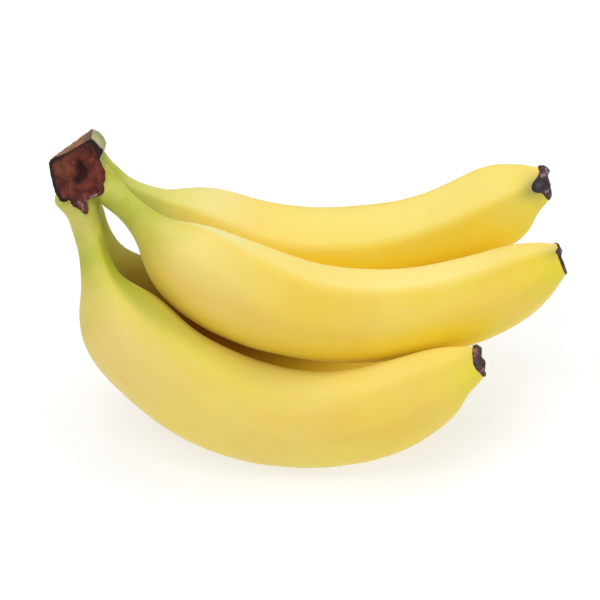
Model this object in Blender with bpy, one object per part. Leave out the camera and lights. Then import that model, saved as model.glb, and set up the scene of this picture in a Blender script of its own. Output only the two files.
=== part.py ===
"""Bunch of four bananas, cut from a larger hand and lying on a table.

Two rows of two fruit grow from one crown. The lower row lies on the table, the upper row rests
over it, and the crown stands up at the left end. The origin is on the table, below the middle of
the bunch, with +X along the fruit towards their tips, +Y towards the back row and +Z up.
"""

from math import cos, pi, sin, tau
from typing import NamedTuple

import bmesh
import bpy
import numpy as np
from mathutils import Vector

MM = 0.001

# The middle of the bunch, in the millimetres that its points are laid out in.
MIDDLE = (2.0, 2.9, 0.0)

# A fruit's outline: how thick it is along its length, as shares of its length and of its girth.
# The root of the stalk narrows where it grows out of the crown.
OUTLINE = (
    (0.00, 0.24),
    (0.04, 0.30),
    (0.08, 0.285),
    (0.12, 0.33),
    (0.15, 0.42),
    (0.18, 0.59),
    (0.22, 0.80),
    (0.27, 0.93),
    (0.34, 0.985),
    (0.44, 1.00),
    (0.57, 0.98),
    (0.71, 0.93),
    (0.82, 0.89),
    (0.89, 0.81),
    (0.94, 0.67),
    (0.975, 0.49),
    (1.00, 0.33),
)
SHOULDER = 0.15
GIRTH = 40.5 * MM

# A swell is where a fruit is fuller or slimmer than that outline. It fades out over this share
# of the length.
SWELL_REACH = 0.08

# A banana is a rounded pentagon across, and more angular at its stalk and tip than in its middle.
RIDGES = 5
BODY_FACETING = 0.22
END_FACETING = 0.38

RINGS = 40
SIDES = 20
STALK_SHARE = 0.12
TIP_SHARE = 0.94

# Pieces that touch keep this much air between their meshes.
AIR = 0.3 * MM

# The dried flower end: a short black stub with a dished face.
FLOWER_LENGTH = 2.8 * MM
FLOWER_SIDES = 15
FLOWER_OUTLINE = ((0.0, 0.90), (0.25, 1.04), (0.70, 0.92), (1.0, 0.78))
FLOWER_DISH = 0.9 * MM

# The crown's own directions: up is the normal of the cut that took it off the plant's stalk, back
# runs along the crown from the near fruit to the far ones, and across completes them.
CROWN_AT = (Vector((-90.6, 17.0, 103.4)) - Vector(MIDDLE)) * MM
CROWN_UP = Vector((-0.428, 0.388, 0.816)).normalized()
CROWN_ACROSS = Vector((0.901, 0.248, 0.355)).normalized()
CROWN_BACK = CROWN_UP.cross(CROWN_ACROSS).normalized()
CROWN_DEPTH = 29.0 * MM
CROWN_EDGE = 0.7 * MM
SOCKET_LENGTH = 26.0 * MM

# The near cut face, as (across, up) in millimetres, clockwise from its top left corner. The
# lowest point is the strip of skin that tore down the stalk below it.
NEAR_FACE = (
    (-8.0, 8.3),
    (2.0, 8.8),
    (9.5, 8.8),
    (13.0, 4.0),
    (9.0, 1.6),
    (9.8, -3.9),
    (6.6, -11.0),
    (0.9, -12.0),
    (-4.0, -16.8),
    (-8.2, -11.2),
    (-11.8, -7.4),
    (-12.0, -1.0),
)
TORN_POINT = 8
TORN_RISE = 5.4
TORN_DEPTH = 3.0 * MM


class Fruit(NamedTuple):
    """One banana: its row, its centre line in millimetres from crown to tip, and its build.

    The shoulder is the share of its length at which the stalk ends. Each swell is a place along
    the fruit and the share of the girth that is added there.
    """

    name: str
    path: tuple
    girth: float
    shoulder: float
    ridge_turn: float
    swells: tuple


FRUITS = (
    Fruit(
        "lower_front",
        (
            (-90.6, 19.5, 90.3),
            (-88.0, 11.5, 81.0),
            (-84.8, 3.0, 73.3),
            (-80.8, -7.0, 65.0),
            (-65.8, -22.0, 47.8),
            (-38.0, -29.8, 27.9),
            (1.0, -32.4, 18.5),
            (38.1, -32.5, 27.8),
            (57.1, -28.2, 37.8),
            (66.9, -25.0, 42.2),
        ),
        GIRTH * 1.03,
        0.168,
        115.0,
        ((0.36, -0.055), (0.93, -0.045)),
    ),
    Fruit(
        "upper_front",
        (
            (-83.4, 23.5, 95.4),
            (-77.0, 18.0, 92.1),
            (-66.7, 11.0, 85.5),
            (-56.6, 5.0, 77.6),
            (-37.0, -2.5, 66.5),
            (-7.0, -4.3, 53.4),
            (38.2, -0.2, 46.9),
            (78.5, 3.7, 57.6),
            (92.0, 5.6, 64.8),
            (100.3, 6.8, 69.1),
        ),
        GIRTH,
        0.145,
        115.0,
        ((0.37, 0.04),),
    ),
    Fruit(
        "lower_back",
        (
            (-91.4, 32.0, 84.0),
            (-88.5, 29.5, 73.0),
            (-84.5, 26.0, 63.5),
            (-78.5, 21.5, 54.5),
            (-66.0, 17.5, 39.5),
            (-36.0, 13.5, 21.8),
            (4.0, 16.5, 16.4),
            (38.0, 23.0, 17.6),
            (58.0, 27.0, 23.5),
            (66.0, 29.0, 27.5),
        ),
        GIRTH * 0.92,
        0.145,
        120.0,
        (),
    ),
    Fruit(
        "upper_back",
        (
            (-86.4, 38.0, 95.0),
            (-79.2, 36.2, 87.3),
            (-66.3, 34.5, 79.4),
            (-50.0, 35.2, 69.2),
            (-27.0, 35.6, 58.0),
            (15.2, 36.8, 52.8),
            (55.0, 39.3, 60.9),
            (84.2, 41.8, 75.5),
            (96.8, 44.6, 81.4),
        ),
        GIRTH * 0.97,
        0.160,
        138.0,
        ((0.90, 0.095),),
    ),
)

# Colours of the parts: linear base colour, roughness
SKIN = ("peel", (0.84, 0.60, 0.07), 0.45)
CROWN_BROWN = ("dried_crown", (0.10, 0.035, 0.02), 0.80)
FLOWER_BLACK = ("dried_flower", (0.035, 0.02, 0.018), 0.85)


def clear_scene():
    for obj in list(bpy.data.objects):
        bpy.data.objects.remove(obj)


def material(look):
    name, colour, roughness = look
    made = bpy.data.materials.get(name) or bpy.data.materials.new(name)
    made.use_nodes = True
    shader = made.node_tree.nodes["Principled BSDF"]
    shader.inputs["Base Color"].default_value = (*colour, 1.0)
    shader.inputs["Roughness"].default_value = roughness
    shader.inputs["Metallic"].default_value = 0.0
    return made


def add_object(name, mesh, look):
    mesh.materials.append(material(look))
    obj = bpy.data.objects.new(name, mesh)
    bpy.context.scene.collection.objects.link(obj)
    return obj


def spline(knots, values, at):
    """The natural cubic spline through values at knots, read at the positions at."""
    knots = np.asarray(knots, float)
    values = np.asarray(values, float).reshape(len(knots), -1)
    gaps = np.diff(knots)
    slopes = np.diff(values, axis=0) / gaps[:, None]
    system = np.eye(len(knots))
    target = np.zeros_like(values)
    for i in range(1, len(knots) - 1):
        system[i, i - 1 : i + 2] = gaps[i - 1], 2 * (gaps[i - 1] + gaps[i]), gaps[i]
        target[i] = 6 * (slopes[i] - slopes[i - 1])
    bends = np.linalg.solve(system, target)
    i = np.clip(np.searchsorted(knots, at, side="right") - 1, 0, len(gaps) - 1)
    gap = gaps[i][:, None]
    ahead = (knots[i + 1] - at)[:, None]
    behind = (at - knots[i])[:, None]
    return (
        (bends[i] * ahead**3 + bends[i + 1] * behind**3) / (6 * gap)
        + (values[i] / gap - bends[i] * gap / 6) * ahead
        + (values[i + 1] / gap - bends[i + 1] * gap / 6) * behind
    )


def centre_line(points, count):
    """count points, evenly spaced, on a smooth curve through the given ones, in metres."""
    points = (np.array(points, float) - MIDDLE) * MM
    knots = np.concatenate([[0], np.linalg.norm(np.diff(points, axis=0), axis=1).cumsum()])
    fine = spline(knots, points, np.linspace(0, knots[-1], 20 * count))
    run = np.concatenate([[0], np.linalg.norm(np.diff(fine, axis=0), axis=1).cumsum()])
    even = np.linspace(0, run[-1], count)
    return np.stack([np.interp(even, run, fine[:, axis]) for axis in range(3)], axis=1)


def cross_axes(line):
    """Two directions across the line at each of its points: one to the back, one upwards."""
    along = np.gradient(line, axis=0)
    along /= np.linalg.norm(along, axis=1)[:, None]
    back = np.array([0.0, 1.0, 0.0]) - along * along[:, 1:2]
    back /= np.linalg.norm(back, axis=1)[:, None]
    return along, back, np.cross(along, back)


def faceting(share):
    """How far the section goes from round, 0, to a pentagon, 1, at this share of the length."""
    to_stalk = np.clip(1 - share / STALK_SHARE / 2, 0, 1)
    to_tip = np.clip((share - TIP_SHARE) / (1 - TIP_SHARE), 0, 1)
    return BODY_FACETING + (END_FACETING - BODY_FACETING) * max(to_stalk, to_tip)


def section(angle, ridge_turn, facets):
    """The section's radius at an angle, as a share of its largest."""
    face = tau / RIDGES
    from_ridge = abs((angle - ridge_turn + face / 2) % face - face / 2)
    pentagon = cos(face / 2) / cos(face / 2 - from_ridge)
    return 1 - facets * (1 - pentagon)


def ring(centre, back, up, radius, ridge_turn, facets, sides=SIDES):
    turns = [ridge_turn + tau * k / sides for k in range(sides)]
    return [
        centre + radius * section(turn, ridge_turn, facets) * (cos(turn) * back + sin(turn) * up)
        for turn in turns
    ]


def skin_over(name, rings):
    """A closed mesh over a row of rings, with a flat face at each end."""
    sides = len(rings[0])
    made = bmesh.new()
    rows = [[made.verts.new(point) for point in row] for row in rings]
    for near, far in zip(rows, rows[1:]):
        for k in range(sides):
            made.faces.new((near[k], near[(k + 1) % sides], far[(k + 1) % sides], far[k]))
    made.faces.new(reversed(rows[0]))
    made.faces.new(rows[-1])
    bmesh.ops.recalc_face_normals(made, faces=made.faces)
    mesh = bpy.data.meshes.new(name)
    made.to_mesh(mesh)
    made.free()
    return mesh


def shade_smooth(mesh, sharp_from=0.9):
    mesh.shade_smooth()
    mesh.set_sharp_from_angle(angle=sharp_from)


def fruit_rings(fruit, extra=0.0, length=None):
    """The fruit's rings, or those of its first length, with extra added all round."""
    line = centre_line(fruit.path, RINGS)
    step = np.linalg.norm(line[1] - line[0])
    if length is not None:
        line = line[: int(length / step)]
    along, back, up = cross_axes(line)
    shares = np.arange(len(line)) / (RINGS - 1)
    knots, widths = zip(*OUTLINE)
    places = np.interp(shares, (0.0, fruit.shoulder, 1.0), (0.0, SHOULDER, 1.0))
    widths = spline(knots, widths, places)[:, 0]
    for place, share in fruit.swells:
        widths += share * np.exp(-(((shares - place) / SWELL_REACH) ** 2))
    radii = widths * fruit.girth / 2 + extra
    line[0] -= along[0] * extra
    turn = np.radians(fruit.ridge_turn)
    return [
        ring(line[i], back[i], up[i], radii[i], turn, faceting(shares[i]))
        for i in range(len(line))
    ]


def make_fruit(fruit):
    """The banana from its root in the crown to its tip, with a flat spot where it lies."""
    mesh = skin_over("banana_" + fruit.name, fruit_rings(fruit))
    for vertex in mesh.vertices:
        vertex.co.z = max(vertex.co.z, 0.0)
    shade_smooth(mesh)
    return add_object(mesh.name, mesh, SKIN)


def make_flower_end(fruit):
    """The dried stub that the flower leaves at the tip of a banana."""
    line = centre_line(fruit.path, RINGS)
    along, back, up = (axes[-1] for axes in cross_axes(line))
    start = line[-1] + along * AIR
    radius = OUTLINE[-1][1] * fruit.girth / 2
    turn = np.radians(fruit.ridge_turn)
    outline = [(FLOWER_LENGTH * share, width) for share, width in FLOWER_OUTLINE]
    outline.append((FLOWER_LENGTH - FLOWER_DISH, outline[-1][1] / 2))
    rings = []
    for far, width in outline:
        centre = start + along * far
        rings.append(ring(centre, back, up, radius * width, turn, END_FACETING, FLOWER_SIDES))
    mesh = skin_over("flower_end_" + fruit.name, rings)
    shade_smooth(mesh)
    return add_object(mesh.name, mesh, FLOWER_BLACK)


def crown_section(depth, outline):
    """An outline of (across, up) points in millimetres, that far back from the near cut face."""
    at = CROWN_AT + CROWN_BACK * depth
    return [at + (CROWN_ACROSS * x + CROWN_UP * y) * MM for x, y in outline]


def without_torn_point(outline):
    return [
        (x, y + TORN_RISE) if i == TORN_POINT else (x, y) for i, (x, y) in enumerate(outline)
    ]


def make_crown():
    """The stub of the hand: two cut faces, and a socket for the root of each fruit."""
    body = without_torn_point(NEAR_FACE)
    middle = [(x * 0.94 + 1.0, y * 0.97 + x * 0.06 + 1.3) for x, y in body]
    far = [(x * 0.86 + 2.4, y * 0.92 + x * 0.12 + 2.8) for x, y in body]
    sections = [
        crown_section(0.0, NEAR_FACE),
        crown_section(TORN_DEPTH, body),
        crown_section(CROWN_DEPTH * 0.6, middle),
        crown_section(CROWN_DEPTH, far),
    ]
    mesh = skin_over("crown", sections)
    crown = add_object("crown", mesh, CROWN_BROWN)
    bevel = crown.modifiers.new("worn_edges", "BEVEL")
    bevel.width = CROWN_EDGE
    bevel.segments = 1
    for fruit in FRUITS:
        rings = fruit_rings(fruit, extra=AIR, length=SOCKET_LENGTH)
        socket = add_object("socket_" + fruit.name, skin_over("socket_" + fruit.name, rings), SKIN)
        socket.hide_render = True
        socket.display_type = "WIRE"
        cut = crown.modifiers.new("socket_" + fruit.name, "BOOLEAN")
        cut.operation = "DIFFERENCE"
        cut.solver = "EXACT"
        cut.object = socket
    return crown


def main():
    clear_scene()
    make_crown()
    for fruit in FRUITS:
        make_fruit(fruit)
        make_flower_end(fruit)


main()
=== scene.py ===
"""Looks for the bunch of bananas: fine peel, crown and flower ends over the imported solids."""

from math import cos, radians, sin, tau

import bmesh
import bpy
import numpy as np
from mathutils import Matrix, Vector
from numpy.linalg import norm


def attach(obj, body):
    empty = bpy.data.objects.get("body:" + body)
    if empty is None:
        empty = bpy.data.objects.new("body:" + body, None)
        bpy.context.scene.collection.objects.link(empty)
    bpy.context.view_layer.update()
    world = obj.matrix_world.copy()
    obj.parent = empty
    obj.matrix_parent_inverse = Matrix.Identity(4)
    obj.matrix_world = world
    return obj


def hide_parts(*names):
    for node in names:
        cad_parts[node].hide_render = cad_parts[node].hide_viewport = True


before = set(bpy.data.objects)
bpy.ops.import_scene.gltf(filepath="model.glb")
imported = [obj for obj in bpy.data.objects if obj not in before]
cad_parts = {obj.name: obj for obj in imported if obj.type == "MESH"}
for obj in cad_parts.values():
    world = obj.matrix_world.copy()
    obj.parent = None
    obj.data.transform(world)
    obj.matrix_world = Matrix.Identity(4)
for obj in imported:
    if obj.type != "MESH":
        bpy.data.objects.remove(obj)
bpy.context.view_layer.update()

MM = 0.001
BODY = "root"
# The bunch's middle, in the millimetres of the paths below.
MIDDLE = np.array([2.0, 2.9, 0.0])

# Camera: the picture's angle, its distance, how many pixels make a metre, and the picture's width;
# then where it looks, and its sensor's width.
ELEVATION = radians(35.0)
DISTANCE = 0.75
PIXELS_PER_M = 2500.0
PICTURE = 600
LOOK_AT = np.array([-0.0054, -0.0039, 0.0546])
SENSOR = 36.0

# The fruit's outline: share of its length, share of its girth.
OUTLINE = (
    (0.00, 0.24), (0.04, 0.30), (0.08, 0.285), (0.12, 0.33), (0.15, 0.42), (0.18, 0.59),
    (0.22, 0.80), (0.27, 0.93), (0.34, 0.985), (0.44, 1.00), (0.57, 0.98), (0.71, 0.93),
    (0.82, 0.89), (0.89, 0.81), (0.94, 0.67), (0.975, 0.49), (1.00, 0.33),
)
# Where the body begins in that outline, and how far a swell reaches, as shares of the length.
SHOULDER = 0.15
SWELL_REACH = 0.08
# The upper front fruit's thickness, and the ridges round each fruit.
GIRTH = 40.5 * MM
RIDGES = 5

# Each fruit's build, and what it is where a fruit doesn't state it.
# path: its centre line in millimetres. shoulder: the share of the length where the body begins.
# swells: shares of the length and of the girth there. turn: where the front ridge lies at the neck
# and at the tip, in degrees round. ridges: how strong each ridge is. flare: how much wider the stalk
# starts at the crown, above and below. bumps: low swellings, as share of the length and its spread,
# degrees round and their spread, and millimetres. tan: how buff the peel is. pale: how much paler
# the face above the front ridge is painted, a painted highlight from the light above. inner: how
# green that face is by the neck, and how far along the green reaches. stalk: where the stalk's own
# green dies out. bloom_and_highlight: how strong the shoulder's pale bloom is, painted strongest on
# the upper face and so partly a painted highlight. lower_face_bounce: how golden the face below the
# front ridge is painted, as painted bounce light between the fruit. upper_face_shade: how dim the
# face above it is painted halfway along, as painted shade. shaded: 1 on the fruit in the others'
# shade, whose hidden front is painted dark as painted shade. smudge: a bruise by the flower end, as
# degrees round, degrees wide and strength. rust and bulk: how brown and how thick that dried end is.
# hem and lip: its edges, as degrees round, and millimetres back over the peel or beyond the fruit.
PLAIN_BUILD = dict(
    shoulder=0.145, swells=(), stalk=(0.10, 0.25), bloom_and_highlight=0.0, lower_face_bounce=0.0, upper_face_shade=0.0, shaded=0.0, bulk=1.0,
    hem=((0, 0.8), (90, 1.6), (180, 1.0), (270, 1.4)),
    lip=((0, 1.6), (90, 2.6), (180, 2.0), (270, 1.2)),
)
FRUITS = {
    "lower_front": dict(
        path=(
            (-90.6, 19.5, 90.3), (-88.0, 11.5, 81.0), (-84.8, 3.0, 73.3), (-80.8, -7.0, 65.0),
            (-65.8, -22.0, 47.8), (-38.0, -29.8, 27.9), (1.0, -32.4, 18.5), (38.1, -32.5, 27.8),
            (57.1, -28.2, 37.8), (66.9, -25.0, 42.2),
        ),
        girth=GIRTH * 1.03, shoulder=0.168, swells=((0.36, -0.055), (0.93, -0.045)),
        turn=(100.0, 117.0), ridges=(1.0, 0.25, 0.8, 0.9, 0.8), flare=(1.1, 1.7),
        bumps=((0.955, 0.028, 232, 48, -1.7),), tan=0.70, pale=0.30, inner=(1.0, 0.76),
        stalk=(0.115, 0.285), upper_face_shade=0.15, smudge=(110.0, 20.0, 0.15), rust=1.0,
        hem=(
            (0, 0.8), (58, -1.1), (92, 0.3), (119, 1.3), (144, 2.9), (160, 2.9), (188, 2.1),
            (215, 1.1), (280, 0.6),
        ),
        lip=(
            (0, 1.2), (60, 2.6), (104, 3.3), (134, 1.3), (156, 1.6), (180, 0.6), (196, -0.9),
            (220, -0.7), (280, 0.8),
        ),
        seed=11,
    ),
    "upper_front": dict(
        path=(
            (-83.4, 23.5, 95.4), (-77.0, 18.0, 92.1), (-66.7, 11.0, 85.5), (-56.6, 5.0, 77.6),
            (-37.0, -2.5, 66.5), (-7.0, -4.3, 53.4), (38.2, -0.2, 46.9), (78.5, 3.7, 57.6),
            (92.0, 5.6, 64.8), (100.3, 6.8, 69.1),
        ),
        girth=GIRTH, swells=((0.37, 0.04),), turn=(88.0, 115.0), ridges=(1.2, 0.3, 0.9, 0.9, 0.8),
        flare=(1.08, 1.05), bumps=((0.985, 0.02, 60, 40, 0.6),), tan=0.42, pale=0.88,
        inner=(0.12, 0.34), bloom_and_highlight=0.9, smudge=(112.0, 30.0, 0.6), rust=0.2, bulk=0.5,
        hem=(
            (0, 0.4), (50, -0.4), (76, -1.8), (104, -1.6), (118, 0.2), (128, -0.3), (150, 0.0),
            (190, 0.5), (300, 0.4),
        ),
        lip=(
            (0, 1.0), (60, 1.7), (100, 2.4), (118, 2.6), (132, 1.5), (148, 0.6), (168, 0.3),
            (186, 0.0), (212, -0.2), (300, 0.6),
        ),
        seed=23,
    ),
    "lower_back": dict(
        path=(
            (-91.4, 32.0, 84.0), (-88.5, 29.5, 73.0), (-84.5, 26.0, 63.5), (-78.5, 21.5, 54.5),
            (-66.0, 17.5, 39.5), (-36.0, 13.5, 21.8), (4.0, 16.5, 16.4), (38.0, 23.0, 17.6),
            (58.0, 27.0, 23.5), (66.0, 29.0, 27.5),
        ),
        girth=GIRTH * 0.92, turn=(120.0, 120.0), ridges=(1.0, 0.8, 0.8, 0.9, 0.9), flare=(1.1, 1.1),
        bumps=((0.07, 0.06, 90, 60, 1.1),), tan=0.15, pale=0.5, inner=(0.30, 0.34), shaded=1.0,
        smudge=(112.0, 24.0, 0.3), rust=0.4, seed=37,
    ),
    "upper_back": dict(
        path=(
            (-86.4, 38.0, 95.0), (-79.2, 36.2, 87.3), (-66.3, 34.5, 79.4), (-50.0, 35.2, 69.2),
            (-27.0, 35.6, 58.0), (15.2, 36.8, 52.8), (55.0, 39.3, 60.9), (84.2, 41.8, 75.5),
            (96.8, 44.6, 81.4),
        ),
        girth=GIRTH * 0.97, shoulder=0.160, swells=((0.90, 0.095),), turn=(126.0, 143.0),
        ridges=(1.15, 0.6, 0.8, 0.9, 0.8), flare=(0.9, 1.05),
        bumps=((0.93, 0.05, 55, 50, 0.8), (0.985, 0.025, 55, 50, 0.8), (0.962, 0.022, 232, 48, -1.5)),
        tan=0.12, pale=0.56, inner=(0.20, 0.36), bloom_and_highlight=0.60, lower_face_bounce=0.65, smudge=(150.0, 40.0, 1.0),
        rust=0.5,
        hem=(
            (0, 0.8), (59, -1.8), (102, -0.5), (122, 1.5), (138, 4.6), (146, 5.9), (154, 5.9),
            (164, 4.4), (174, 2.6), (186, 2.4), (212, 1.5), (280, 0.7),
        ),
        lip=(
            (0, 1.0), (70, 3.5), (98, 4.5), (114, 4.0), (132, 2.5), (156, 2.0), (196, 1.2),
            (228, 0.3), (280, 0.4),
        ),
        seed=41,
    ),
}

# The peel's mesh: rings along the body and by the tip, points round it, and the stretches by the end
# where the rings are closer and where they follow the dried flower end.
ALONG = 240
TIP_ROWS = 60
AROUND = 130
TIP_REACH = 12.0 * MM
END_REACH = 7.0 * MM
# The peel's end, hidden in the dried flower end, is dished: share of the radius, depth.
END_DISH = ((0.80, 1.0 * MM), (0.40, 2.2 * MM))
# Peel lower than this is pressed into the flat spot that the fruit lies on.
PRESSED = 0.8 * MM
# The dried flower end's rings: share of the way from hem to lip, or millimetres behind the hem;
# millimetres proud of the peel; share of the radius; and millimetres below the lip.
FLOWER_RINGS = (
    (-0.7, -0.55, 1.0, 0.0),
    (0.0, 0.02, 1.0, 0.0),
    (0.05, 0.28, 1.0, 0.0),
    (0.14, 0.34, 1.0, 0.0),
    *((share, 0.30, 1.0, 0.0) for share in np.linspace(0.24, 0.86, 10)),
    (0.94, 0.20, 1.0, 0.0),
    (1.0, 0.0, 0.99, 0.0),
    (1.0, -0.1, 0.93, 0.06),
    (1.0, 0.0, 0.86, 0.25),
    *((1.0, 0.0, part, 0.45 + 0.75 * (0.86 - part)) for part in np.linspace(0.78, 0.06, 12)),
)
FLOWER_SIDES = 120
# What sets the noises of one fruit's peel apart from another's, per unit of its seed.
SEED_SHIFT = 0.37

# The crown's own directions and its place, as in the solids. Its depth, and its (across, up)
# outlines, are in millimetres.
CROWN_AT = (np.array([-90.6, 17.0, 103.4]) - MIDDLE) * MM
CROWN_UP = np.array([-0.428, 0.388, 0.816])
CROWN_UP /= norm(CROWN_UP)
CROWN_ACROSS = np.array([0.901, 0.248, 0.355])
CROWN_ACROSS /= norm(CROWN_ACROSS)
CROWN_BACK = np.cross(CROWN_UP, CROWN_ACROSS)
CROWN_BACK /= norm(CROWN_BACK)
CROWN_DEPTH = 29.0
VOXEL = 0.40 * MM
SLEEVE_SIDES = 44

# The crown's rim, by places in the picture: a point of the near cut face's rim, and the one of the
# far face's rim behind it.
CROWN_RIM = (
    (49.2, 168.0, 55.5, 165.0), (48.6, 163.5, 54.2, 160.5), (50.4, 160.0, 55.2, 156.0),
    (59.0, 156.0, 61.5, 151.2), (75.0, 148.8, 75.5, 140.6), (91.5, 138.6, 92.0, 128.4),
    (94.4, 141.6, 99.2, 131.6), (97.2, 144.8, 104.0, 136.8), (100.2, 147.9, 106.4, 142.6),
    (103.0, 150.8, 105.6, 147.8), (99.8, 158.4, 101.5, 158.0), (102.3, 165.4, 102.0, 163.5),
    (105.4, 171.0, 102.2, 168.5), (104.8, 178.8, 102.5, 176.0), (103.2, 184.4, 101.5, 182.0),
    (104.2, 189.3, 101.0, 187.0), (103.0, 193.5, 99.5, 190.5), (99.5, 195.8, 96.5, 193.0),
    (94.0, 197.5, 92.0, 194.5), (88.0, 199.8, 86.5, 196.5), (70.7, 201.2, 71.0, 197.5),
    (68.6, 199.8, 69.0, 196.8), (65.0, 202.2, 66.0, 197.0), (62.5, 202.4, 63.5, 196.5),
    (59.5, 200.0, 62.5, 194.5), (56.0, 194.2, 60.5, 189.5), (53.2, 185.8, 59.0, 181.5),
    (50.4, 174.6, 57.0, 173.0),
)
# More places in the picture: the strip of skin torn down below the near face, the skin that dried
# pale below it, both ends of the face's dark hollow, its dark wedge, and the top face's grey peak.
TORN_STRIP = (
    (69.0, 194.0), (89.0, 193.0), (88.2, 199.8), (87.3, 203.3), (87.8, 211.5), (86.0, 214.2),
    (82.0, 210.4), (75.0, 206.8), (72.0, 204.7), (70.7, 201.2),
)
# The torn strip's thickness, how proud of the near face it hangs, and from which height downwards.
STRIP_THICK = 2.4
STRIP_PROUD = 0.7
STRIP_LOOSE = -9.0
PALE_SKIN = (77.0, 220.0)
HOLLOW_TOP = (81.5, 168.0)
HOLLOW_BOTTOM = (78.5, 179.5)
WEDGE = (98.0, 146.5)
PEAK = (91.0, 140.0)
FIBRE_LEAN = radians(16)
# Pale shreds of the torn strip: place in the picture, half width and half height.
PALE_SHREDS = (
    ((83.6, 207.5), 0.7, 2.0),
    ((79.5, 203.5), 0.5, 1.4),
    ((86.8, 200.0), 0.6, 1.6),
    ((92.0, 196.6), 1.5, 0.5),
    ((97.5, 194.2), 1.3, 0.45),
)
# The stretch of the upper back fruit's stalk that is painted paler, partly its own paler green and
# partly painted light: its middle and its reach.
LIT_STALK = (np.array([-69.0, 35.0, 82.0]) - MIDDLE) * MM
LIT_STALK_REACH = 13.0 * MM


def lattice_noise(points, size, seed):
    """Smooth noise from -1 to 1 at points, with features about size across."""
    table = np.random.default_rng(seed).uniform(-1, 1, (32, 32, 32))
    at = np.asarray(points) / size
    cell = np.floor(at).astype(int)
    part = at - cell
    part = part * part * (3 - 2 * part)
    total = np.zeros(len(at))
    for corner in np.ndindex(2, 2, 2):
        i, j, k = ((cell + corner) % 32).T
        weight = np.prod(np.where(np.array(corner) == 1, part, 1 - part), axis=1)
        total += weight * table[i, j, k]
    return total


def noise(points, size, seed, layers=3):
    """Smooth noise from -1 to 1, with finer and weaker layers on top."""
    return sum(
        lattice_noise(points, size / 2**n, seed + n) / 2**n for n in range(layers)
    ) / (2 - 0.5 ** (layers - 1))


def ease(low, high, value):
    """0 at low and before it, 1 at high and beyond, smooth between; low may be the greater."""
    share = np.clip((value - low) / (high - low), 0, 1)
    return share * share * (3 - 2 * share)


def bell(value, width):
    """1 at 0, falling off smoothly to both sides."""
    return np.exp(-((value / width) ** 2))


def turn_between(angle, degrees):
    """How far an angle in radians is from one in degrees, the short way round."""
    return (angle - radians(degrees) + np.pi) % tau - np.pi


def near_turn(angle, degrees, width):
    """1 where an angle in radians is the one in degrees, falling off over that width in degrees."""
    return bell(turn_between(angle, degrees), radians(width))


def spline(knots, values, at):
    """The natural cubic spline through values at knots, read at the positions at."""
    knots = np.asarray(knots, float)
    values = np.asarray(values, float).reshape(len(knots), -1)
    gaps = np.diff(knots)
    slopes = np.diff(values, axis=0) / gaps[:, None]
    system = np.eye(len(knots))
    target = np.zeros_like(values)
    for i in range(1, len(knots) - 1):
        system[i, i - 1 : i + 2] = gaps[i - 1], 2 * (gaps[i - 1] + gaps[i]), gaps[i]
        target[i] = 6 * (slopes[i] - slopes[i - 1])
    bends = np.linalg.solve(system, target)
    i = np.clip(np.searchsorted(knots, at, side="right") - 1, 0, len(gaps) - 1)
    gap = gaps[i][:, None]
    ahead = (knots[i + 1] - at)[:, None]
    behind = (at - knots[i])[:, None]
    return (
        (bends[i] * ahead**3 + bends[i + 1] * behind**3) / (6 * gap)
        + (values[i] / gap - bends[i] * gap / 6) * ahead
        + (values[i + 1] / gap - bends[i + 1] * gap / 6) * behind
    )


def round_curve(pairs, angles, blur=radians(4)):
    """A closed, softened curve through (degrees, millimetres), read at angles; in metres."""
    turns = np.radians([pair[0] for pair in pairs])
    reach = np.array([pair[1] for pair in pairs]) * MM
    turns = np.concatenate([turns - tau, turns, turns + tau])
    reach = np.tile(reach, 3)
    shifts = np.linspace(-blur, blur, 9)
    return np.mean([np.interp(angles % tau + shift, turns, reach) for shift in shifts], axis=0)


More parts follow.
